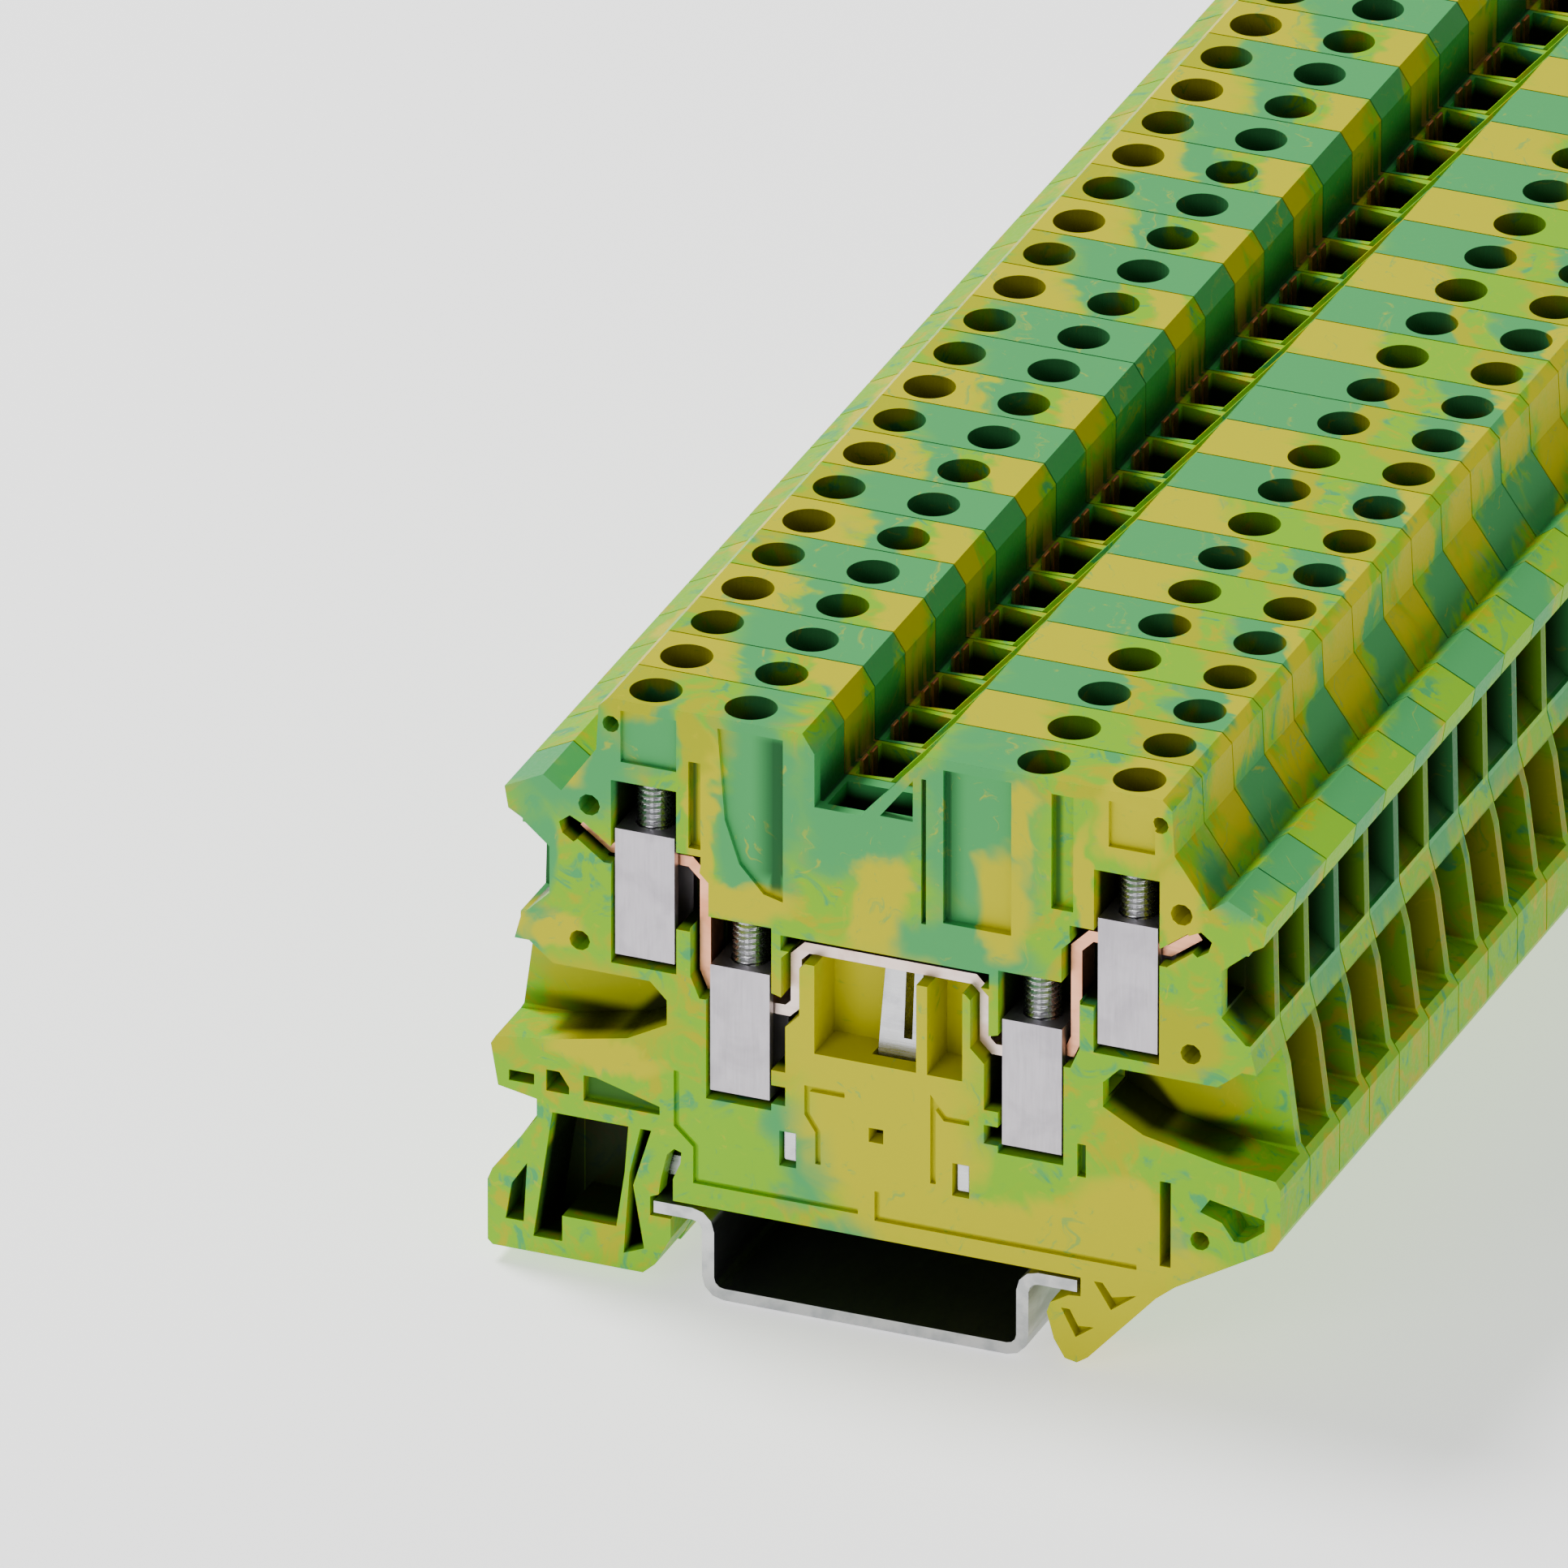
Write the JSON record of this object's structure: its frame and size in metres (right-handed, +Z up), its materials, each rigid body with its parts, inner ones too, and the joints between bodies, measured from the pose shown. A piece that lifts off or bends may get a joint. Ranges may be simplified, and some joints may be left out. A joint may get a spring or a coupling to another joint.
{
  "type": "din rail terminal block",
  "caption": "Row of green and yellow earth screw terminal blocks clipped to a top-hat rail, the first block's open side showing its clamps and bars.",
  "frame": {"origin": "middle of the rail's underside, half-way along the rail", "axes": "+Z up from the rail's underside, +Y along the rail away from the first block's open side, +X across the rail towards the fixed foot"},
  "size_m": [0.0655, 0.1606, 0.0501],
  "materials": {
    "earth_green_yellow": "satin moulded plastic, green and yellow marbled",
    "nickel_plated_cage": "satin nickel plate",
    "zinc_plated_steel": "bright zinc plate",
    "tinned_copper": "thinly tinned copper",
    "passivated_rail": "passivated zinc plate"
  },
  "bodies": {
    "strip": {"rail": "passivated_rail", "housing_01": "earth_green_yellow", "housing_02": "earth_green_yellow", "housing_03": "earth_green_yellow", "housing_04": "earth_green_yellow", "housing_05": "earth_green_yellow", "housing_06": "earth_green_yellow", "housing_07": "earth_green_yellow", "housing_08": "earth_green_yellow", "housing_09": "earth_green_yellow", "housing_10": "earth_green_yellow", "housing_11": "earth_green_yellow", "housing_12": "earth_green_yellow", "housing_13": "earth_green_yellow", "housing_14": "earth_green_yellow", "housing_15": "earth_green_yellow", "housing_16": "earth_green_yellow", "housing_17": "earth_green_yellow", "housing_18": "earth_green_yellow", "housing_19": "earth_green_yellow", "housing_20": "earth_green_yellow", "housing_21": "earth_green_yellow", "housing_22": "earth_green_yellow", "housing_23": "earth_green_yellow", "housing_24": "earth_green_yellow", "housing_25": "earth_green_yellow", "link_bar_left": "tinned_copper", "link_bar_right": "tinned_copper", "centre_bar": "tinned_copper", "earthing_foot": "zinc_plated_steel"},
    "screw_outer_left": {"clamp_screw_outer_left": "zinc_plated_steel"},
    "cage_outer_left": {"clamp_cage_outer_left": "nickel_plated_cage"},
    "screw_inner_left": {"clamp_screw_inner_left": "zinc_plated_steel"},
    "cage_inner_left": {"clamp_cage_inner_left": "nickel_plated_cage"},
    "screw_inner_right": {"clamp_screw_inner_right": "zinc_plated_steel"},
    "cage_inner_right": {"clamp_cage_inner_right": "nickel_plated_cage"},
    "screw_outer_right": {"clamp_screw_outer_right": "zinc_plated_steel"},
    "cage_outer_right": {"clamp_cage_outer_right": "nickel_plated_cage"}
  },
  "joints": [
    {"name": "turn_outer_left", "type": "hinge", "parent": "strip", "child": "screw_outer_left", "pos_m": [-0.0183, -0.07775, 0.0389], "axis": [0, 0, -1], "range_deg": [0, 2578]},
    {"name": "lift_outer_left", "type": "slide", "parent": "strip", "child": "cage_outer_left", "axis": [0, 0, 1], "range_m": [0, 0.0035]},
    {"name": "turn_inner_left", "type": "hinge", "parent": "strip", "child": "screw_inner_left", "pos_m": [-0.01045, -0.07775, 0.0287], "axis": [0, 0, -1], "range_deg": [0, 2578]},
    {"name": "lift_inner_left", "type": "slide", "parent": "strip", "child": "cage_inner_left", "axis": [0, 0, 1], "range_m": [0, 0.0035]},
    {"name": "turn_inner_right", "type": "hinge", "parent": "strip", "child": "screw_inner_right", "pos_m": [0.01365, -0.07775, 0.0287], "axis": [0, 0, -1], "range_deg": [0, 2578]},
    {"name": "lift_inner_right", "type": "slide", "parent": "strip", "child": "cage_inner_right", "axis": [0, 0, 1], "range_m": [0, 0.0035]},
    {"name": "turn_outer_right", "type": "hinge", "parent": "strip", "child": "screw_outer_right", "pos_m": [0.0215, -0.07775, 0.0389], "axis": [0, 0, -1], "range_deg": [0, 2578]},
    {"name": "lift_outer_right", "type": "slide", "parent": "strip", "child": "cage_outer_right", "axis": [0, 0, 1], "range_m": [0, 0.0035]}
  ],
  "couplings": [
    {"joint": "turn_outer_left", "follows": "lift_outer_left", "rad_per_m": 12566},
    {"joint": "turn_inner_left", "follows": "lift_inner_left", "rad_per_m": 12566},
    {"joint": "turn_inner_right", "follows": "lift_inner_right", "rad_per_m": 12566},
    {"joint": "turn_outer_right", "follows": "lift_outer_right", "rad_per_m": 12566}
  ]
}
